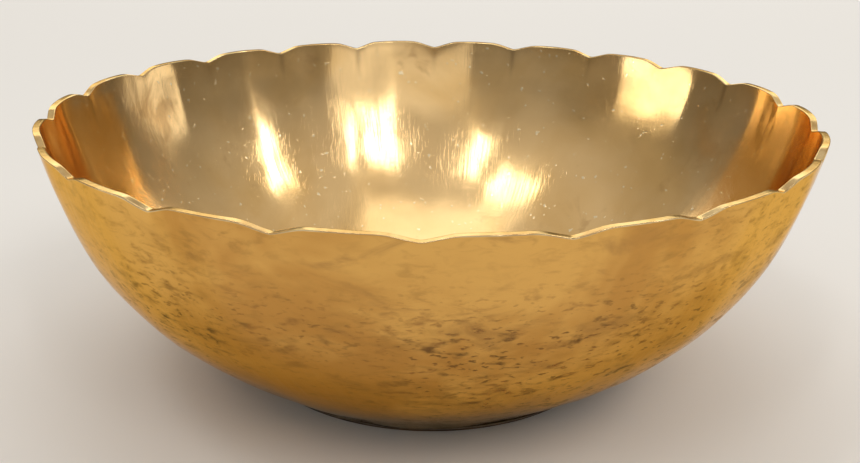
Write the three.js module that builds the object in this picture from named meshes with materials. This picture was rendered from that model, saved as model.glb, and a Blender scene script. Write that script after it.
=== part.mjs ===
// A scalloped brass urli: a wide cast bowl on a low turned foot ring that is brazed to its underside.
//
// Millimetres, +Z up. The origin is the middle of the plane that the foot rests on. A cusp of the rim faces
// -Y, which puts the crest of a lobe on +X and another on -X.

import * as THREE from 'three';

// Bowl, as cast
const rimRadius = 250; // outside, at the crest of a lobe
const rimHeight = 176.2; // crest of a lobe above the resting plane
const wall = 4.5; // thickness of the casting
const rimSlope = THREE.MathUtils.degToRad(79.9); // of the outside at the rim, from level
const rimReach = 115; // how far down from the rim that slope is felt
const bellySlope = THREE.MathUtils.degToRad(38.3); // of the outside where it leaves the base, from level
const bellyReach = 40; // how far up from the base that slope is felt
const baseCornerRadius = 4; // rounds the flat base into the belly, outside
const floorRounding = 32; // length of wall that curves into the floor, inside

// Scallops of the rim
const lobeCount = 22;
const cuspInset = 2.7; // how far a cusp lies inside the crest of a lobe
const fluteLength = 130; // how far down the wall the flutes between the cusps run
const notchDepth = 3.3; // of the V filed into the edge at each cusp
const notchWidth = 26; // across the mouth of that V
const crownRise = 1.3; // of the edge of a lobe, from its ends to its middle
const edgeReach = 36; // how far down the wall the shape of the edge is felt

// Foot ring, turned
const footRadius = 120.8; // outside, where it rests
const footWidth = 9; // of its underside
const footHeight = 4; // from the resting plane to the ring's top
const footFlare = 2.6; // how much wider the ring is at the top
const footEdge = 0.8; // rounding of its two lower edges
const seatMargin = 0.5; // of flat base outside the ring

// Brazed joint between them
const filmThickness = 0.6; // filler metal between the base and the ring
const beadLeg = 1.8; // how far the fillet in each corner reaches
const clearance = 0.3; // between the faces of pieces that touch

// How finely the round shapes are divided
const columnsPerLobe = 8;
const ringColumns = 66;
const wallSteps = 8;
const roundingSteps = 3;

const seatSpace = filmThickness + 2 * clearance;
const baseHeight = footHeight + seatSpace;
const ringInside = footRadius - footWidth;
const ringOutside = footRadius + footFlare;
const baseRadius = ringOutside + seatMargin;
const lobePitch = (2 * Math.PI * rimRadius) / lobeCount;

// A point of a section is (radius, height) until the section is turned around the axis.
const at = (radius, height) => new THREE.Vector2(radius, height);

// The point at a distance from another, up a slope.
function upSlope(point, slope, distance) {
  return at(point.x + distance * Math.cos(slope), point.y + distance * Math.sin(slope));
}

// A body of revolution around +Z. Its section runs anticlockwise, so that it goes up on the outside.
function turn(section, columns) {
  return new THREE.LatheGeometry(section, columns).rotateX(Math.PI / 2);
}

// The rounding between the bowl's base and its belly, or a curve at a distance outside it.
function baseCorner(distance = 0) {
  const radius = baseCornerRadius + distance;
  const height = baseHeight + baseCornerRadius;
  const down = -Math.PI / 2;
  return new THREE.EllipseCurve(baseRadius, height, radius, radius, down, down + bellySlope);
}

// The outside of the wall, from the base's corner to the rim.
function outerWall() {
  const bottom = baseCorner().getPoint(1);
  const top = at(rimRadius, rimHeight);
  const bottomHandle = upSlope(bottom, bellySlope, bellyReach);
  const topHandle = upSlope(top, rimSlope, -rimReach);
  return new THREE.CubicBezierCurve(bottom, bottomHandle, topHandle, top);
}

// The inside, from the axis to the rim: a flat floor that rounds into a wall of even thickness.
function innerLine(outer) {
  const floor = baseHeight + wall;
  const start = floorRounding / outer.getLength();
  const wallLine = [];
  for (let step = 0; step <= wallSteps; step++) {
    const t = start + (1 - start) * (step / wallSteps);
    const inward = outer.getTangent(t).rotateAround(at(0, 0), Math.PI / 2);
    wallLine.push(outer.getPoint(t).addScaledVector(inward, wall));
  }
  wallLine.at(-1).y = rimHeight; // the rim is cut off level

  const slope = outer.getTangent(start).angle();
  const reach = (wallLine[0].y - floor) / Math.sin(slope);
  const corner = upSlope(wallLine[0], slope, -reach);
  const rounding = new THREE.QuadraticBezierCurve(at(corner.x - reach, floor), corner, wallLine[0]);
  return [at(0, floor), ...rounding.getPoints(roundingSteps), ...wallLine.slice(1)];
}

// 0 at a cusp and 1 at the crest of a lobe.
function fromCusp(bearing) {
  const lobes = (bearing * lobeCount) / (2 * Math.PI);
  return 2 * Math.abs(lobes - Math.round(lobes));
}

// Draws the wall in at every cusp, most at the rim, and lowers the edge to the notches and lobe ends.
function scallop(geometry) {
  const position = geometry.getAttribute('position');
  const vertex = new THREE.Vector3();
  for (let i = 0; i < position.count; i++) {
    vertex.fromBufferAttribute(position, i);
    const radius = Math.hypot(vertex.x, vertex.y);
    const reach = fromCusp(Math.atan2(vertex.x, -vertex.y));
    const flute = THREE.MathUtils.smoothstep(vertex.z, rimHeight - fluteLength, rimHeight);
    const edge = THREE.MathUtils.smoothstep(vertex.z, rimHeight - edgeReach, rimHeight);
    const inset = cuspInset * (1 - reach) ** 2 * flute;
    const notch = notchDepth * Math.max(0, 1 - (reach * lobePitch) / notchWidth);
    const crown = crownRise * (1 - reach) ** 2;
    const scale = flute > 0 ? 1 - inset / radius : 1;
    position.setXYZ(i, vertex.x * scale, vertex.y * scale, vertex.z - (notch + crown) * edge);
  }
  geometry.computeVertexNormals();
  return geometry;
}

function bowlShell() {
  const outer = outerWall();
  const outerLine = [
    at(0, baseHeight),
    ...baseCorner().getPoints(roundingSteps),
    ...outer.getPoints(wallSteps).slice(1),
  ];
  const section = [...outerLine, ...innerLine(outer).reverse()];
  return scallop(turn(section, lobeCount * columnsPerLobe));
}

// The ring's outside is a cone above its rounded lower edge. The line at a distance outside that cone:
const ringSlope = Math.atan2(footHeight - footEdge, footFlare);
function ringSide(height, distance) {
  const out = (height - footEdge) / Math.tan(ringSlope) + distance / Math.sin(ringSlope);
  return at(footRadius + out, height);
}

function footRing() {
  const edge = (centre, from) =>
    new THREE.EllipseCurve(centre, footEdge, footEdge, footEdge, from, from + Math.PI / 2);
  const section = [
    ...edge(ringInside + footEdge, -Math.PI).getPoints(roundingSteps),
    ...edge(footRadius - footEdge, -Math.PI / 2).getPoints(roundingSteps),
    at(ringOutside, footHeight),
    at(ringInside, footHeight),
  ];
  return turn([...section, section[0].clone()], ringColumns);
}

// Filler metal: a film on top of the ring, ending in a hollow fillet outside and another inside.
function brazedJoint() {
  const filmUnder = footHeight + clearance;
  const filmTop = baseHeight - clearance;
  const belly = baseCorner(clearance).getPoints(roundingSteps).reverse();
  const outerToe = ringSide(filmUnder - beadLeg, clearance);
  const outerHollow = ringSide(filmUnder, clearance + beadLeg / 4);
  const outerFillet = new THREE.QuadraticBezierCurve(outerToe, outerHollow, belly[0]);

  const innerSide = ringInside - clearance;
  const innerToe = at(innerSide, filmUnder - beadLeg);
  const innerTip = at(innerSide - beadLeg, filmTop);
  const innerHollow = at(innerSide - beadLeg / 4, filmUnder - beadLeg / 4);
  const innerFillet = new THREE.QuadraticBezierCurve(innerTip, innerHollow, innerToe);

  const section = [
    at(innerSide, filmUnder),
    ringSide(filmUnder, clearance),
    ...outerFillet.getPoints(roundingSteps),
    ...belly.slice(1),
    ...innerFillet.getPoints(roundingSteps),
  ];
  return turn([...section, section[0].clone()], ringColumns);
}

function piece(name, geometry, colour, roughness) {
  const material = new THREE.MeshStandardMaterial({ color: colour, roughness, metalness: 1 });
  const mesh = new THREE.Mesh(geometry, material);
  mesh.name = name;
  return mesh;
}

const urli = new THREE.Group();
urli.add(
  piece('bowl_shell', bowlShell(), 0xc8963c, 0.25),
  piece('foot_ring', footRing(), 0x8a6428, 0.4),
  piece('brazed_joint', brazedJoint(), 0x9c7a3a, 0.5),
);

export default urli;
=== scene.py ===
"""Looks of a scalloped brass urli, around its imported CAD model. Metres, +Z up, a cusp of the rim faces -Y."""

import math

import bpy
import numpy as np
from mathutils import Matrix, Quaternion, Vector


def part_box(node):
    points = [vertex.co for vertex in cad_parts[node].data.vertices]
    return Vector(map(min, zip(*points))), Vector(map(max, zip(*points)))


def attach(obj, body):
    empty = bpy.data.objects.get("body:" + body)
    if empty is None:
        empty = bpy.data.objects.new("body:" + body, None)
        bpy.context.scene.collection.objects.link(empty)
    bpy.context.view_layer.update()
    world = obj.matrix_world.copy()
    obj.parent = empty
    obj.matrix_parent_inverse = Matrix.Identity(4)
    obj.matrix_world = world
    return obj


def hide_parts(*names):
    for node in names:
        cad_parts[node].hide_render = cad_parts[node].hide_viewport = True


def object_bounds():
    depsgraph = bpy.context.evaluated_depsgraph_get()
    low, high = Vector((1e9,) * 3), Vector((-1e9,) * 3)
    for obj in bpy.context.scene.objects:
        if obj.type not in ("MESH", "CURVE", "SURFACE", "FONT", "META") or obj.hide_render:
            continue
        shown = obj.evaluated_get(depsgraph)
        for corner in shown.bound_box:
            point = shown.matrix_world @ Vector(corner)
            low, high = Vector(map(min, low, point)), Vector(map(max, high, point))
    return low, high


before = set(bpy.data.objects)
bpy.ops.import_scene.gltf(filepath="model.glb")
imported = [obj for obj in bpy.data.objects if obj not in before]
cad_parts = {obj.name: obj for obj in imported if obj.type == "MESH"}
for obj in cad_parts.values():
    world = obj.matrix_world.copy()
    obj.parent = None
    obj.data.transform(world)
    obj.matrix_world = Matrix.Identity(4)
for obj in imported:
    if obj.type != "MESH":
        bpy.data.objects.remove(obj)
cad_low, cad_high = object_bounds()

# ---------------------------------------------------------------- sizes
# Taken from the CAD model
rim_radius = cad_high.x  # outside, at the crest of a lobe
rim_height = cad_high.z
base_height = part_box("bowl_shell")[0].z
foot_radius = -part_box("foot_ring")[0].y  # at the top of the foot, where it is widest
foot_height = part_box("foot_ring")[1].z
bead_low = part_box("brazed_joint")[0].z

# The casting
WALL = 0.0045
RIM_SLOPE = math.radians(79.9)  # of the outside at the rim, from level
RIM_REACH = 0.115
BELLY_SLOPE = math.radians(38.3)  # of the outside where it leaves the base
BELLY_REACH = 0.040
BASE_CORNER = 0.004
FLOOR_ROUNDING = 0.032
OUTER_EDGE = 0.0004  # rounding of the rim's two edges
INNER_EDGE = 0.0008
OUTER_EDGE_START = -0.17  # radians from level, where the outer rounding leaves the wall
LIP_FLAT = (0.2, 0.7)  # the level part of the cut edge, as shares of the wall

# Scallops
LOBES = 22
CUSP_INSET = 0.0027
FLUTE_LENGTH = 0.130
PLEAT_LENGTH = 0.035  # of the sharp crease under a cusp, which then widens into a flute
PLEAT_ROUNDING = 0.05
FLUTE_ROUNDING = 0.5
NOTCH_DEPTH = 0.0033
NOTCH_WIDTH = 0.026
NOTCH_ROUNDING = 0.18  # of its bottom, as a share of half its width
NOTCH_SOFTNESS = 0.1  # of the corners where a notch meets the crest
CROWN_RISE = 0.0013
EDGE_LENGTH = 0.036  # how far down the wall the scallops of the edge are felt

# Foot and brazed joint
FOOT_WIDTH = 0.009
FOOT_FLARE = 0.0026
FOOT_EDGE = 0.0008
SEAT_MARGIN = 0.0005
CLEARANCE = 0.0003

# How finely the pieces are divided
COLUMNS_PER_LOBE = 24
COLUMN_CROWDING = 0.55  # how much closer together the columns are near the cusps
WALL_ROWS = 56
LAST_ROWS = (0.0015525, 0.000828)  # how far below the rim two more rows of the wall are
BASE_ROWS = 8
FLOOR_ROWS = 9
ROUNDING_ROWS = 14
LIP_ROWS = 4
EDGE_MARGIN = 0.0001  # no row of the inside comes closer to the rounded edge
ARC_POINTS = 5
FINE_ARC_POINTS = 6
FLARE_ROWS = 6
FOOT_ROWS = 3
RING_COLUMNS = 264
BOWL_WAVES = 24
RING_WAVES = 16

# Irregularity of hand work
LOBE_WIDTH_SPREAD = 0.02
NOTCH_DEPTH_SPREAD = 0.15
NOTCH_WIDTH_SPREAD = 0.12
SWELL_HEIGHT, SWELL_LENGTHS = 0.00022, (0.05, 0.11)
DENT_HEIGHT, DENT_LENGTHS = 0.00003, (0.015, 0.03)
STROKE_HEIGHT, STROKE_LENGTHS = 0.00012, (0.03, 0.07)  # the polisher's strokes
STROKE_STRETCH = 0.15  # how fast they change up the wall, as a share of how fast around it
RIM_CALM = 0.3  # the cut edge wobbles less than the rest
CALM_CENTRE, WOBBLE_FULL = 0.02, 0.12  # the wobble sets in between these radii
RING_LENGTHS = (0.02, 0.06)
FOOT_WOBBLE = 0.00004
BEAD_WOBBLE = 0.00008

# Painted shade that the shape decides: in the creases under the cusps, and on the outside near the foot
CREASE_WIDTH = 0.10  # beside a cusp, as a share of half a lobe
CREASE_TOP = 0.004  # below the rim, where a crease is full
FOOT_SHADE_FULL, FOOT_SHADE_END = 0.006, 0.045  # painted shade on the outside, out from the foot

# Fine relief of the surface
OUTSIDE_RELIEF = 0.00012
INSIDE_RELIEF = 0.00008
RIM_RELIEF = 0.00007
FOOT_RELIEF = 0.00015
UPRIGHT_RING = 0.25  # radius of the ring on which a pattern is laid to run up the wall

# Which material a row of the bowl has
OUTSIDE, RIM, INSIDE = 0, 1, 2

# Colours of the metal, as it reflects straight on
OUTSIDE_BRIGHT = (0.80, 0.46, 0.13)
OUTSIDE_DEEP = (0.60, 0.31, 0.08)
INSIDE_BRIGHT = (0.90, 0.63, 0.31)
INSIDE_DEEP = (0.80, 0.52, 0.21)
OUTSIDE_SMUDGE = (0.36, 0.19, 0.065)
OUTSIDE_FILM = (0.42, 0.23, 0.065)
TARNISH_DARK = (0.13, 0.075, 0.035)
TARNISH_RED = (0.30, 0.14, 0.05)
# painted shade: the outside darkens to this near the foot
OUTSIDE_FOOT_SHADE = (0.075, 0.04, 0.018)
TARNISH_TOP, TARNISH_FULL = 0.165, 0.105  # heights between which the spots set in
TARNISH_SIDE = 0.08  # they reach the rim on the side of +X
OUTSIDE_EDGE = (0.95, 0.76, 0.44, 1.0)  # brass stays golden where it is seen at a slant
INSIDE_EDGE = (1.0, 0.88, 0.68, 1.0)
INSIDE_STAIN = (0.45, 0.27, 0.11)
# painted shade in the creases under the cusps
INSIDE_CREASE_SHADE = (0.16, 0.09, 0.04)
INSIDE_SPECK = (0.95, 0.85, 0.6)
RIM_BRIGHT = (0.86, 0.66, 0.36)
RIM_DEEP = (0.62, 0.42, 0.2)
# the foot's colours are painted shade
FOOT_SHADED_BRIGHT = (0.23, 0.135, 0.05)
FOOT_SHADED_DEEP = (0.10, 0.055, 0.02)
FILLER_BRIGHT = (0.36, 0.26, 0.13)
FILLER_DEEP = (0.16, 0.10, 0.045)
FOOT_GRIME = (0.035, 0.02, 0.01)
FOOT_ROUGHNESS = 0.3
FILLER_ROUGHNESS = 0.42

# The studio
BACKGROUND_WHITE = 1.08  # above 1, so it comes out as plain white
STUDIO_LOW = (0.155, 0.145, 0.13)
STUDIO_HIGH = (0.62, 0.58, 0.52)
FLOOR_COLOUR = (0.85, 0.85, 0.85, 1.0)
FLOOR_RADIUS = 2.6
FLOOR_SIDES = 96
LAMP_DISTANCE = 4.0
LAMP_COLOUR = (1.0, 0.97, 0.92)

# name, bearing, elevation and lean in degrees, width, height, radiance
SOFT_BOXES = (
    ("soft_box_right", 80, 40, -35, 0.075, 0.5, 9),
    ("soft_box_middle_right", 40, 45, -25, 0.05, 0.42, 8),
    ("soft_box_middle", 25, 45, 0, 0.05, 0.5, 9),
    ("soft_box_middle_left", -25, 55, 0, 0.06, 0.45, 7),
    ("soft_box_left", -60, 65, 0, 0.12, 0.18, 7),
    ("soft_box_low_left", -84, 13, 0, 0.45, 0.15, 3),
    ("soft_box_front", 10, 25, 0, 0.8, 0.35, 0.55),
    ("soft_box_top", 180, 80, 0, 0.6, 0.6, 0.9),
    ("soft_box_back", 180, 28, 0, 1.6, 0.4, 1.4),
    ("soft_box_back_right", 112, 12, 0, 0.22, 0.16, 1.1),
)

# The camera, which stands in front of the bowl and looks down into it
CAMERA_LENS = 43.54
CAMERA_BEARING = math.radians(0.97)
CAMERA_DISTANCE = 2.7125  # from the bowl's axis, in rim radii
CAMERA_RISE = 0.6344  # above the rim, in rim radii
CAMERA_PITCH = 0.3507
CAMERA_ROLL = 0.0107

rng = np.random.default_rng(22)


# ---------------------------------------------------------------- sections
def smoothstep(x, low, high):
    """From 0 at low to 1 at high, level at both ends."""
    t = np.clip((x - low) / (high - low), 0, 1)
    return t * t * (3 - 2 * t)


def bezier(points, t):
    """Point and direction of a Bezier curve at t."""
    p0, p1, p2, p3 = (np.array(p) for p in points)
    t = np.asarray(t)[:, None]
    place = (1 - t) ** 3 * p0 + 3 * (1 - t) ** 2 * t * p1 + 3 * (1 - t) * t**2 * p2 + t**3 * p3
    speed = (1 - t) ** 2 * (p1 - p0) + 2 * (1 - t) * t * (p2 - p1) + t**2 * (p3 - p2)
    return place, speed / np.linalg.norm(speed, axis=1)[:, None]


def arc(centre, radius, start, end, steps):
    """Points along an arc, its angles counted from outwards towards upwards."""
    angle = np.linspace(start, end, steps)
    return np.stack([centre[0] + radius * np.cos(angle), centre[1] + radius * np.sin(angle)], 1)


def bend(start, middle, end, steps):
    """Points along a curve that leaves start towards middle and comes to end from it."""
    t = np.linspace(0, 1, steps)[:, None]
    return (1 - t) ** 2 * start + 2 * t * (1 - t) * middle + t**2 * end


def level_rows(radius, height, rows):
    """Points from the axis outwards at one height, without the last, which is at the radius."""
    return np.stack([np.linspace(0, radius, rows + 1)[:-1], np.full(rows, height)], 1)


def up_slope(point, slope, distance):
    """The point a distance away in the direction of a slope."""
    return (point[0] + distance * math.cos(slope), point[1] + distance * math.sin(slope))


def wall_curve():
    """The outside of the wall from the base corner to the rim, with its direction, finer close to the rim."""
    base_radius = foot_radius + SEAT_MARGIN
    corner = arc((base_radius, base_height + BASE_CORNER), BASE_CORNER, -math.pi / 2,
                 -math.pi / 2 + BELLY_SLOPE, ARC_POINTS)
    bottom, top = tuple(corner[-1]), (rim_radius, rim_height)
    handles = [bottom, up_slope(bottom, BELLY_SLOPE, BELLY_REACH), up_slope(top, RIM_SLOPE, -RIM_REACH), top]
    end_speed = 3 * RIM_REACH  # of a Bezier curve, at the end of this handle
    below_rim = 1 - np.array(LAST_ROWS) / end_speed
    steps = np.concatenate([np.linspace(0, 1, WALL_ROWS)[:-1], below_rim, [1]])
    outer, heading = bezier(handles, steps)
    return base_radius, corner, outer, heading


def bowl_section():
    """(radius, height) from the middle of the base, up, over the rim and down to the middle of the floor."""
    base_radius, corner, outer, heading = wall_curve()
    inward = np.stack([-heading[:, 1], heading[:, 0]], 1)
    inner = outer + WALL * inward
    base = level_rows(base_radius, base_height, BASE_ROWS)

    outer_centre = (rim_radius - OUTER_EDGE, rim_height - OUTER_EDGE)
    inner_centre = (rim_radius - WALL + INNER_EDGE, rim_height - INNER_EDGE)
    lip_middle = np.linspace(rim_radius - LIP_FLAT[0] * WALL, rim_radius - LIP_FLAT[1] * WALL, LIP_ROWS)
    lip = np.concatenate([
        arc(outer_centre, OUTER_EDGE, OUTER_EDGE_START, math.pi / 2, ARC_POINTS),
        np.stack([lip_middle, np.full(LIP_ROWS, rim_height)], 1),
        arc(inner_centre, INNER_EDGE, math.pi / 2, math.pi, FINE_ARC_POINTS),
    ])

    floor = base_height + WALL
    length = np.concatenate([[0], np.cumsum(np.linalg.norm(np.diff(outer, axis=0), axis=1))])
    start = int(np.searchsorted(length, FLOOR_ROUNDING))
    slope = math.atan2(heading[start][1], heading[start][0])
    reach = (inner[start][1] - floor) / math.sin(slope)
    turn = up_slope(inner[start], slope, -reach)
    first = np.array([turn[0] - reach, floor])
    rounding = bend(first, np.array(turn), inner[start], ROUNDING_ROWS)
    flat = level_rows(turn[0] - reach, floor, FLOOR_ROWS)
    inside = np.concatenate([flat, rounding, inner[start + 1:]])
    inside = inside[inside[:, 1] < rim_height - INNER_EDGE - EDGE_MARGIN]
    outside = np.concatenate([base, corner, outer[1:-1]])
    section = np.concatenate([outside, lip, inside[::-1]])
    sides = [OUTSIDE] * len(outside) + [RIM] * len(lip) + [INSIDE] * len(inside)
    return section, np.array(sides)


# ---------------------------------------------------------------- hand-made irregularity
def ripples(points, count, shortest, longest):
    """A smooth random field over space, about 1 high, made of plane waves."""
    field = np.zeros(points.shape[:-1])
    for _ in range(count):
        direction = rng.normal(size=3)
        direction *= 2 * math.pi / (np.linalg.norm(direction) * rng.uniform(shortest, longest))
        field += np.cos(points @ direction + rng.uniform(0, 2 * math.pi))
    return field / math.sqrt(count / 2)


# ---------------------------------------------------------------- meshes
def grid_mesh(name, points, row_material, closed):
    """A mesh over points[row][column] whose columns go round. Its rows close too, or end on the axis."""
    rows, columns = points.shape[:2]
    index = np.arange(rows * columns).reshape(rows, columns)
    following = np.roll(index, -1, axis=1)
    faces, materials = [], []
    last = rows if closed else rows - 1
    for row in range(last):
        upper = (row + 1) % rows
        faces += list(zip(index[row], following[row], following[upper], index[upper]))
        materials += [row_material[row]] * columns
    vertices = points.reshape(-1, 3)
    if not closed:
        for row in (0, rows - 1):
            centre = len(vertices)
            vertices = np.concatenate([vertices, [[0, 0, points[row, 0, 2]]]])
            for a, b in zip(index[row], following[row]):
                faces.append((a, b, centre) if row else (b, a, centre))
            materials += [row_material[min(row, rows - 2)]] * columns
    mesh = bpy.data.meshes.new(name)
    mesh.from_pydata(vertices.tolist(), [], [tuple(int(i) for i in face) for face in faces])
    mesh.polygons.foreach_set("material_index", materials)
    mesh.polygons.foreach_set("use_smooth", [True] * len(faces))
    mesh.update()
    piece = bpy.data.objects.new(name, mesh)
    bpy.context.scene.collection.objects.link(piece)
    return piece


def add_values(piece, name, grid):
    """Stores one number for each point of the grid, for the materials to read."""
    values = np.zeros(len(piece.data.vertices))
    values[:grid.size] = grid.ravel()
    piece.data.attributes.new(name, "FLOAT", "POINT").data.foreach_set("value", values)


def spread(share):
    """One random factor near 1 for each lobe."""
    return 1 + rng.uniform(-share, share, LOBES)


def lay_out_columns():
    """For each column its bearing, its reach, which is 0 at a cusp and 1 at a crest, and its nearest cusp."""
    step = np.arange(COLUMNS_PER_LOBE) / COLUMNS_PER_LOBE
    within = step - COLUMN_CROWDING * np.sin(2 * math.pi * step) / (2 * math.pi)
    lobe_width = spread(LOBE_WIDTH_SPREAD)
    lobe_width /= lobe_width.mean()
    starts = np.concatenate([[0], np.cumsum(lobe_width)[:-1]])
    bearing = ((starts[:, None] + lobe_width[:, None] * within) * 2 * math.pi / LOBES).ravel()
    phase = np.tile(within, LOBES)
    lobe = np.repeat(np.arange(LOBES), COLUMNS_PER_LOBE)
    nearest = np.where(phase < 0.5, lobe, (lobe + 1) % LOBES)
    return bearing, 2 * np.minimum(phase, 1 - phase), nearest


def notch_drop(reach, width, depth):
    """How far the edge lies below the crest of a lobe: a rounded notch, and the slope of the crown."""
    lobe_length = 2 * math.pi * rim_radius / LOBES
    across = reach * lobe_length / (NOTCH_WIDTH * width)
    rounded = np.sqrt(across**2 + NOTCH_ROUNDING**2) - NOTCH_ROUNDING
    flank = NOTCH_SOFTNESS * np.log1p(np.exp((1 - rounded) / NOTCH_SOFTNESS))
    return NOTCH_DEPTH * depth * flank + CROWN_RISE * (1 - reach) ** 2


def flute_inset(height, reach, depth):
    """How far a cusp draws the wall in: a sharp pleat at the rim that widens into a flute below."""
    flute = smoothstep(height, rim_height - FLUTE_LENGTH, rim_height) ** 2
    widening = 1 - smoothstep(height, rim_height - PLEAT_LENGTH, rim_height)
    blunt = PLEAT_ROUNDING + FLUTE_ROUNDING * widening
    hollow = (1 + blunt - np.sqrt(reach**2 + blunt**2)) ** 2
    return CUSP_INSET * hollow * depth * flute


def outward(section, bearing):
    """The direction out of the surface at each row and column."""
    tangent = np.gradient(section, axis=0)
    tangent /= np.linalg.norm(tangent, axis=1)[:, None]
    out, up = tangent[:, 1][:, None], -tangent[:, 0][:, None]
    return np.stack([out * np.sin(bearing), -out * np.cos(bearing), up + 0 * bearing], -1)


def hand_wobble(points, bearing):
    """How far hand work leaves each point proud of the even surface."""
    wobble = SWELL_HEIGHT * ripples(points, BOWL_WAVES, *SWELL_LENGTHS)
    wobble += DENT_HEIGHT * ripples(points, BOWL_WAVES, *DENT_LENGTHS)
    z = points[..., 2]
    ring_x = rim_radius * np.sin(bearing) + 0 * z
    ring_y = rim_radius * np.cos(bearing) + 0 * z
    upright = np.stack([ring_x, ring_y, STROKE_STRETCH * z], -1)
    wobble += STROKE_HEIGHT * ripples(upright, BOWL_WAVES, *STROKE_LENGTHS)
    return wobble


def make_bowl():
    """The bowl's section swept round, scalloped at the rim, and slightly uneven."""
    section, sides = bowl_section()
    section, sides = section[1:-1], sides[1:-1]
    radius, height = section[:, 0][:, None], section[:, 1][:, None]
    bearing, reach, nearest = lay_out_columns()
    depth = spread(NOTCH_DEPTH_SPREAD)[nearest]
    width = spread(NOTCH_WIDTH_SPREAD)[nearest]
    edge = smoothstep(height, rim_height - EDGE_LENGTH, rim_height)
    r = radius - flute_inset(height, reach, depth)
    z = height - notch_drop(reach, width, depth) * edge
    points = np.stack([r * np.sin(bearing), -r * np.cos(bearing), z], -1)

    wobble = hand_wobble(points, bearing)
    calm = np.where(sides[:, None] == RIM, RIM_CALM, 1.0) * smoothstep(radius, CALM_CENTRE, WOBBLE_FULL)
    points = points + outward(section, bearing) * (wobble * calm)[..., None]
    bowl = grid_mesh("cast_bowl", points, sides[1:], closed=False)

    # painted shade in the creases under the cusps, stronger under some cusps than others
    near_cusp = (1 - smoothstep(reach, 0.0, CREASE_WIDTH)) * rng.uniform(0, 1, LOBES)[nearest] ** 2
    near_rim = smoothstep(height, rim_height - PLEAT_LENGTH, rim_height - CREASE_TOP)
    add_values(bowl, "crease_shade", near_cusp * near_rim)
    # painted shade on the outside, darker towards the foot
    low_down = 1 - smoothstep(radius, foot_radius + FOOT_SHADE_FULL, foot_radius + FOOT_SHADE_END)
    add_values(bowl, "grime_and_shade", low_down * (sides[:, None] == OUTSIDE) + 0 * bearing)
    return bowl


def make_ring(name, section, wobble):
    """A closed section swept round, slightly out of true."""
    bearing = np.linspace(0, 2 * math.pi, RING_COLUMNS + 1)[:-1]
    section = np.array(section)
    r = section[:, 0][:, None] + 0 * bearing
    z = section[:, 1][:, None] + 0 * bearing
    points = np.stack([r * np.sin(bearing), -r * np.cos(bearing), z], -1)
    shift = wobble * ripples(points, RING_WAVES, *RING_LENGTHS)
    points[..., 0] += shift * np.sin(bearing)
    points[..., 1] -= shift * np.cos(bearing)
    return grid_mesh(name, points, [0] * len(section), closed=True)


def foot_section():
    """The turned foot, anticlockwise: rounded underneath, and flaring a little up to the joint."""
    outside = foot_radius - FOOT_FLARE
    inside = outside - FOOT_WIDTH
    flare = np.linspace([outside, FOOT_EDGE], [foot_radius, foot_height], FLARE_ROWS + 1)[1:]
    top = np.linspace([foot_radius, foot_height], [inside, foot_height], FOOT_ROWS + 1)[1:]
    back = np.linspace([inside, foot_height], [inside, FOOT_EDGE], FOOT_ROWS + 1)[1:-1]
    return np.concatenate([
        arc((inside + FOOT_EDGE, FOOT_EDGE), FOOT_EDGE, math.pi, 1.5 * math.pi, ARC_POINTS),
        arc((outside - FOOT_EDGE, FOOT_EDGE), FOOT_EDGE, -0.5 * math.pi, 0, ARC_POINTS),
        flare,
        top,
        back,
    ])


def bead_section():
    """The filler metal: a film between base and foot that ends in a hollow fillet on each side."""
    under, over = foot_height + CLEARANCE, base_height - CLEARANCE
    leg = under - bead_low
    slope = math.atan2(foot_height - FOOT_EDGE, FOOT_FLARE)

    def beside_foot(height, distance):
        """The point at a height that is a distance out from the foot's flared side."""
        out = (height - FOOT_EDGE) / math.tan(slope) + distance / math.sin(slope)
        return np.array([foot_radius - FOOT_FLARE + out, height])

    corner = arc((foot_radius + SEAT_MARGIN, base_height + BASE_CORNER), BASE_CORNER + CLEARANCE,
                 -math.pi / 2 + BELLY_SLOPE, -math.pi / 2, FINE_ARC_POINTS)
    back = foot_radius - FOOT_FLARE - FOOT_WIDTH - CLEARANCE
    tip, toe = np.array([back - leg, over]), np.array([back, under - leg])
    outer_start, outer_middle = beside_foot(under - leg, CLEARANCE), beside_foot(under, CLEARANCE + leg / 4)
    inner_middle = np.array([back - leg / 4, under - leg / 4])
    return np.concatenate([
        [[back, under]],
        [beside_foot(under, CLEARANCE)],
        bend(outer_start, outer_middle, corner[0], FINE_ARC_POINTS),
        corner[1:],
        bend(tip, inner_middle, toe, FINE_ARC_POINTS),
    ])


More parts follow.
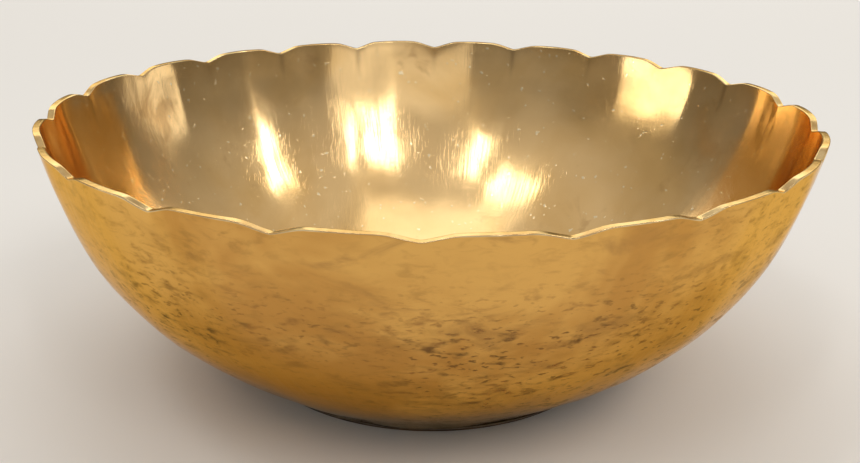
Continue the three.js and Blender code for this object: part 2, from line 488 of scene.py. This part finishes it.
# ---------------------------------------------------------------- shader nodes
class Graph:
    """Adds nodes to a node tree. What is given for a socket is a number, a colour or a socket to link."""

    def __init__(self, tree):
        self.tree = tree

    def feed(self, socket, value):
        if isinstance(value, bpy.types.NodeSocket):
            self.tree.links.new(value, socket)
        else:
            socket.default_value = value

    def node(self, kind, inputs=(), **settings):
        made = self.tree.nodes.new("ShaderNode" + kind)
        for name, value in settings.items():
            setattr(made, name, value)
        for name, value in dict(inputs).items():
            self.feed(made.inputs[name], value)
        return made

    def math(self, operation, a, b=0.0):
        return self.node("Math", {0: a, 1: b}, operation=operation).outputs[0]

    def between(self, value, low, high, to_low=0.0, to_high=1.0):
        """The value's place from low to high, smoothed, as a number from to_low to to_high."""
        inputs = {"Value": value, "From Min": low, "From Max": high, "To Min": to_low, "To Max": to_high}
        return self.node("MapRange", inputs, interpolation_type="SMOOTHSTEP").outputs[0]

    def noise(self, place, scale, detail=3.0, roughness=0.55, distortion=0.0):
        inputs = {"Vector": place, "Scale": scale, "Detail": detail, "Roughness": roughness}
        inputs["Distortion"] = distortion
        return self.node("TexNoise", inputs).outputs["Fac"]

    def stretched(self, place, scale):
        """The place scaled along each axis, so that a pattern there is drawn out or packed closer."""
        return self.node("Mapping", {"Vector": place, "Scale": scale}).outputs[0]

    def mix(self, share, first, second):
        """The first colour where the share is 0, the second where it is 1."""
        made = self.node("Mix", data_type="RGBA")  # its colours are inputs 6 and 7 and output 2
        for index, value in ((0, share), (6, first), (7, second)):
            if index and not isinstance(value, bpy.types.NodeSocket):
                value = (*value, 1)
            self.feed(made.inputs[index], value)
        return made.outputs[2]

    def around(self, place, per_height=0.0):
        """The place on one upright ring at the same bearing, so that a pattern there runs up the wall."""
        flat = self.node("VectorMath", {0: place, 1: (1, 1, 0)}, operation="MULTIPLY").outputs[0]
        ring = self.node("VectorMath", {0: flat}, operation="NORMALIZE").outputs[0]
        ring = self.node("VectorMath", {0: ring, "Scale": UPRIGHT_RING}, operation="SCALE").outputs[0]
        lift = self.node("VectorMath", {0: place, 1: (0, 0, per_height)}, operation="MULTIPLY").outputs[0]
        return self.node("VectorMath", {0: ring, 1: lift}, operation="ADD").outputs[0]

    def attribute(self, name):
        """The number that add_values stored under this name."""
        return self.node("Attribute", attribute_name=name).outputs["Fac"]


def new_material(name):
    material = bpy.data.materials.new(name)
    material.use_nodes = True
    return material, Graph(material.node_tree), material.node_tree.nodes["Principled BSDF"]


def outside_brass():
    """Aged golden brass: warm clouds of colour, brown tarnish spots drawn out sideways, scraper marks, and
    painted shade near the foot.
    """
    material, graph, shader = new_material("brass_outside")
    place = graph.node("TexCoord").outputs["Object"]
    clouds = graph.noise(place, 9, 4, 0.6, 0.4)
    flat = graph.stretched(place, (1, 1, 2.4))
    patches = graph.noise(place, 5.5, 3, 0.5)
    colour = graph.mix(graph.between(clouds, 0.40, 0.60), OUTSIDE_DEEP, OUTSIDE_BRIGHT)
    film = graph.between(graph.noise(flat, 85, 4, 0.6, 0.5), 0.46, 0.72, 0, 0.75)
    film = graph.math("MULTIPLY", film, graph.between(graph.noise(place, 17, 2), 0.35, 0.65, 0.25, 1.0))
    colour = graph.mix(film, colour, OUTSIDE_FILM)

    at = graph.node("SeparateXYZ", {0: place}).outputs
    low = graph.between(at["Z"], TARNISH_TOP, TARNISH_FULL)
    right = graph.between(at["X"], TARNISH_SIDE, rim_radius)
    where = graph.math("MULTIPLY", graph.between(patches, 0.34, 0.58), graph.math("MAXIMUM", low, right))
    blots = graph.between(graph.noise(flat, 60, 3, 0.55, 0.3), 0.54, 0.74)
    freckles = graph.between(graph.noise(flat, 170, 2, 0.5, 0.2), 0.57, 0.70)
    smudges = graph.between(graph.noise(flat, 20, 4, 0.6, 0.8), 0.52, 0.74, 0, 0.6)
    marks = graph.math("MULTIPLY", graph.math("MAXIMUM", blots, graph.math("MULTIPLY", freckles, 0.8)), where)
    shade = graph.between(graph.noise(place, 40, 2), 0.35, 0.65)
    colour = graph.mix(smudges, colour, OUTSIDE_SMUDGE)
    colour = graph.mix(marks, colour, graph.mix(shade, TARNISH_DARK, TARNISH_RED))
    # Painted shade on the outside near the foot, its edge broken up by noise
    shade_edge = graph.between(graph.noise(flat, 34, 4), 0.3, 0.65, 0.6, 1.0)
    grime_and_shade = graph.math("MULTIPLY", graph.attribute("grime_and_shade"), shade_edge)
    colour = graph.mix(grime_and_shade, colour, OUTSIDE_FOOT_SHADE)
    graph.feed(shader.inputs["Base Color"], colour)
    graph.feed(shader.inputs["Metallic"], 1.0)
    shader.inputs["Specular Tint"].default_value = OUTSIDE_EDGE
    polish = graph.between(graph.noise(place, 14, 5, 0.65), 0.3, 0.7, 0.09, 0.17)
    dull = graph.math("ADD", graph.math("MULTIPLY", marks, 0.16), graph.math("MULTIPLY", smudges, 0.1))
    graph.feed(shader.inputs["Roughness"], graph.math("ADD", polish, dull))

    scraped = graph.noise(graph.around(place, 0.16), 240, 2, 0.5)
    grain = graph.noise(flat, 420, 3, 0.6)
    relief = graph.math("ADD", graph.math("MULTIPLY", scraped, 1.3), graph.math("MULTIPLY", grain, 0.1))
    relief = graph.math("SUBTRACT", relief, graph.math("MULTIPLY", marks, 0.15))
    bump = graph.node("Bump", {"Height": relief, "Strength": 1.0, "Distance": OUTSIDE_RELIEF})
    graph.feed(shader.inputs["Normal"], bump.outputs[0])
    return material


def inside_brass():
    """Brighter, polished brass with fine scratches and specks, and painted shade in the creases under the
    cusps.
    """
    material, graph, shader = new_material("brass_inside")
    place = graph.node("TexCoord").outputs["Object"]
    clouds = graph.noise(place, 8, 4, 0.55, 0.5)
    colour = graph.mix(graph.between(clouds, 0.35, 0.65), INSIDE_DEEP, INSIDE_BRIGHT)
    specks = graph.between(graph.noise(place, 210, 2, 0.5), 0.69, 0.73)
    stains = graph.between(graph.noise(place, 26, 4, 0.6, 0.7), 0.60, 0.74, 0, 0.35)
    colour = graph.mix(stains, colour, INSIDE_STAIN)
    # painted shade in the creases under the cusps
    colour = graph.mix(graph.math("MULTIPLY", graph.attribute("crease_shade"), 0.6), colour, INSIDE_CREASE_SHADE)
    colour = graph.mix(graph.math("MULTIPLY", specks, 0.7), colour, INSIDE_SPECK)
    graph.feed(shader.inputs["Base Color"], colour)
    graph.feed(shader.inputs["Metallic"], 1.0)
    shader.inputs["Specular Tint"].default_value = INSIDE_EDGE
    polish = graph.between(graph.noise(place, 12, 5, 0.65, 0.3), 0.3, 0.7, 0.13, 0.22)
    graph.feed(shader.inputs["Roughness"], graph.math("ADD", polish, graph.math("MULTIPLY", stains, 0.15)))

    shader.inputs["Anisotropic"].default_value = 0.6
    shader.inputs["Anisotropic Rotation"].default_value = 0.25
    graph.feed(shader.inputs["Tangent"], graph.node("Tangent", direction_type="RADIAL", axis="Z").outputs[0])

    scratches = None
    for turn_z, turn_x in ((0.3, 0.9), (1.7, 0.5), (2.6, 1.3)):
        turn = {"Vector": place, "Rotation": (turn_x, 0.2, turn_z), "Scale": (14, 1, 1)}
        turned = graph.node("Mapping", turn)
        line = graph.between(graph.noise(turned.outputs[0], 60, 2, 0.5), 0.62, 0.66)
        scratches = line if scratches is None else graph.math("MAXIMUM", scratches, line)
    swirls = graph.noise(graph.stretched(place, (0.3, 0.3, 1)), 60, 3, 0.5)
    relief = graph.math("SUBTRACT", swirls, graph.math("MULTIPLY", scratches, 0.08))
    relief = graph.math("ADD", relief, graph.math("MULTIPLY", specks, 0.5))
    height = graph.node("SeparateXYZ", {0: place}).outputs["Z"]
    strokes = graph.noise(graph.around(place, 0.1), 150, 3, 0.6)
    strokes = graph.math("MULTIPLY", strokes, graph.between(height, 0.02, 0.06))
    relief = graph.math("ADD", relief, strokes)
    bump = graph.node("Bump", {"Height": relief, "Strength": 1.0, "Distance": INSIDE_RELIEF})
    graph.feed(shader.inputs["Normal"], bump.outputs[0])
    return material


def rim_brass():
    """The cut edge: bare filed brass with file marks across it."""
    material, graph, shader = new_material("brass_rim")
    place = graph.node("TexCoord").outputs["Object"]
    colour = graph.mix(graph.between(graph.noise(place, 60, 3), 0.35, 0.65), RIM_DEEP, RIM_BRIGHT)
    graph.feed(shader.inputs["Base Color"], colour)
    graph.feed(shader.inputs["Metallic"], 1.0)
    shader.inputs["Specular Tint"].default_value = OUTSIDE_EDGE
    graph.feed(shader.inputs["Roughness"], graph.between(graph.noise(place, 90, 3), 0.3, 0.7, 0.14, 0.26))
    marks = graph.noise(graph.around(place), 900, 2, 0.6)
    dents = graph.noise(place, 240, 2, 0.5)
    relief = graph.math("ADD", graph.math("MULTIPLY", marks, 0.3), graph.math("MULTIPLY", dents, 0.6))
    bump = graph.node("Bump", {"Height": relief, "Strength": 1.0, "Distance": RIM_RELIEF})
    graph.feed(shader.inputs["Normal"], bump.outputs[0])
    return material


def foot_brass(name, deep, bright, roughness):
    """Dark brass of the foot and its brazed joint, with grime gathered on it. The foot's dark colours are
    painted shade.
    """
    material, graph, shader = new_material(name)
    place = graph.node("TexCoord").outputs["Object"]
    colour = graph.mix(graph.between(graph.noise(place, 45, 4, 0.6, 0.4), 0.35, 0.65), deep, bright)
    grime_and_shade = graph.between(graph.noise(graph.stretched(place, (1, 1, 4)), 70, 4, 0.65), 0.5, 0.7)
    colour = graph.mix(grime_and_shade, colour, FOOT_GRIME)
    graph.feed(shader.inputs["Base Color"], colour)
    graph.feed(shader.inputs["Metallic"], graph.math("SUBTRACT", 1.0, graph.math("MULTIPLY", grime_and_shade, 0.4)))
    rough = graph.math("MULTIPLY", grime_and_shade, 0.3)
    graph.feed(shader.inputs["Roughness"], graph.math("ADD", rough, roughness))
    turning = graph.noise(graph.stretched(place, (0.1, 0.1, 1)), 900, 2)
    pits = graph.noise(place, 300, 3, 0.6)
    relief = graph.math("ADD", graph.math("MULTIPLY", turning, 0.4), pits)
    bump = graph.node("Bump", {"Height": relief, "Strength": 1.0, "Distance": FOOT_RELIEF})
    graph.feed(shader.inputs["Normal"], bump.outputs[0])
    return material


# ---------------------------------------------------------------- stage
def pale_floor():
    """A plain matt round floor that everything sees, the metal too, and that is clear from underneath."""
    turns = np.linspace(0, 2 * math.pi, FLOOR_SIDES + 1)[:-1]
    outline = [(FLOOR_RADIUS * math.cos(turn), FLOOR_RADIUS * math.sin(turn)) for turn in turns]
    mesh = bpy.data.meshes.new("floor")
    mesh.from_pydata([(x, y, 0) for x, y in outline], [], [tuple(range(FLOOR_SIDES))])
    floor = bpy.data.objects.new("floor", mesh)
    bpy.context.scene.collection.objects.link(floor)
    material, graph, shader = new_material("floor")
    graph.feed(shader.inputs["Base Color"], FLOOR_COLOUR)
    graph.feed(shader.inputs["Roughness"], 1.0)
    graph.feed(shader.inputs["Specular IOR Level"], 0.0)
    from_below = graph.node("NewGeometry").outputs["Backfacing"]
    clear = graph.node("BsdfTransparent").outputs[0]
    both = graph.node("MixShader", {0: from_below, 1: shader.outputs[0], 2: clear})
    graph.feed(material.node_tree.nodes["Material Output"].inputs["Surface"], both.outputs[0])
    floor.data.materials.append(material)


def lamp(name, bearing, elevation, lean, width, height, radiance):
    """A soft box facing the bowl. Its sides are shares of its distance, and its bearing is from the front."""
    a, e = math.radians(bearing), math.radians(elevation)
    towards = Vector((math.sin(a) * math.cos(e), -math.cos(a) * math.cos(e), math.sin(e)))
    data = bpy.data.lights.new(name, "AREA")
    data.shape = "RECTANGLE"
    data.size, data.size_y = width * LAMP_DISTANCE, height * LAMP_DISTANCE
    data.energy = radiance * data.size * data.size_y * math.pi
    data.color = LAMP_COLOUR
    light = bpy.data.objects.new(name, data)
    bpy.context.scene.collection.objects.link(light)
    light.location = Vector((0, 0, rim_height / 2)) + LAMP_DISTANCE * towards
    light.rotation_mode = "QUATERNION"
    light.rotation_quaternion = towards.to_track_quat("Z", "Y") @ Quaternion((0, 0, 1), math.radians(lean))
    light.visible_camera = False


def studio_world():
    """An even grey studio, lighter overhead. The camera alone sees a white background in its place."""
    world = bpy.data.worlds.new("studio")
    bpy.context.scene.world = world
    world.use_nodes = True
    world.cycles.sampling_method = "NONE"
    graph = Graph(world.node_tree)
    towards = graph.node("TexCoord").outputs["Generated"]
    height = graph.node("SeparateXYZ", {0: towards}).outputs["Z"]
    studio = graph.mix(graph.between(height, 0.0, 0.9), STUDIO_LOW, STUDIO_HIGH)
    seen = graph.node("LightPath").outputs["Is Camera Ray"]
    background = world.node_tree.nodes["Background"]
    graph.feed(background.inputs["Color"], graph.mix(seen, studio, (BACKGROUND_WHITE,) * 3))
    graph.feed(background.inputs["Strength"], 1.0)


def look_from_the_front():
    """The camera, turned about the bowl's axis and tipped down towards it."""
    data = bpy.data.cameras.new("camera")
    data.lens = CAMERA_LENS
    camera = bpy.data.objects.new("camera", data)
    bpy.context.scene.collection.objects.link(camera)
    camera.matrix_world = (
        Matrix.Rotation(CAMERA_BEARING, 4, "Z")
        @ Matrix.Translation((0, -CAMERA_DISTANCE * rim_radius, rim_height + CAMERA_RISE * rim_radius))
        @ Matrix.Rotation(math.pi / 2 - CAMERA_PITCH, 4, "X")
        @ Matrix.Rotation(CAMERA_ROLL, 4, "Z")
    )
    bpy.context.scene.camera = camera


# ---------------------------------------------------------------- build
def finish_piece(piece, node, slot, *materials):
    """Gives a piece its materials, hangs it under the root body and hides the CAD part of the node it stands
    for. The slot is not used.
    """
    for material in materials:
        piece.data.materials.append(material)
    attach(piece, "root")
    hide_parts(node)


finish_piece(make_bowl(), "bowl_shell", "bowl_brass", outside_brass(), rim_brass(), inside_brass())
# the foot's dark colours are painted shade
finish_piece(make_ring("turned_foot", foot_section(), FOOT_WOBBLE), "foot_ring", "foot_brass",
             foot_brass("brass_foot", FOOT_SHADED_DEEP, FOOT_SHADED_BRIGHT, FOOT_ROUGHNESS))
finish_piece(make_ring("brazed_bead", bead_section(), BEAD_WOBBLE), "brazed_joint", "braze",
             foot_brass("brass_filler", FILLER_DEEP, FILLER_BRIGHT, FILLER_ROUGHNESS))

pale_floor()
studio_world()

for settings in SOFT_BOXES:
    lamp(*settings)

look_from_the_front()
bpy.context.scene.view_settings.view_transform = "Standard"
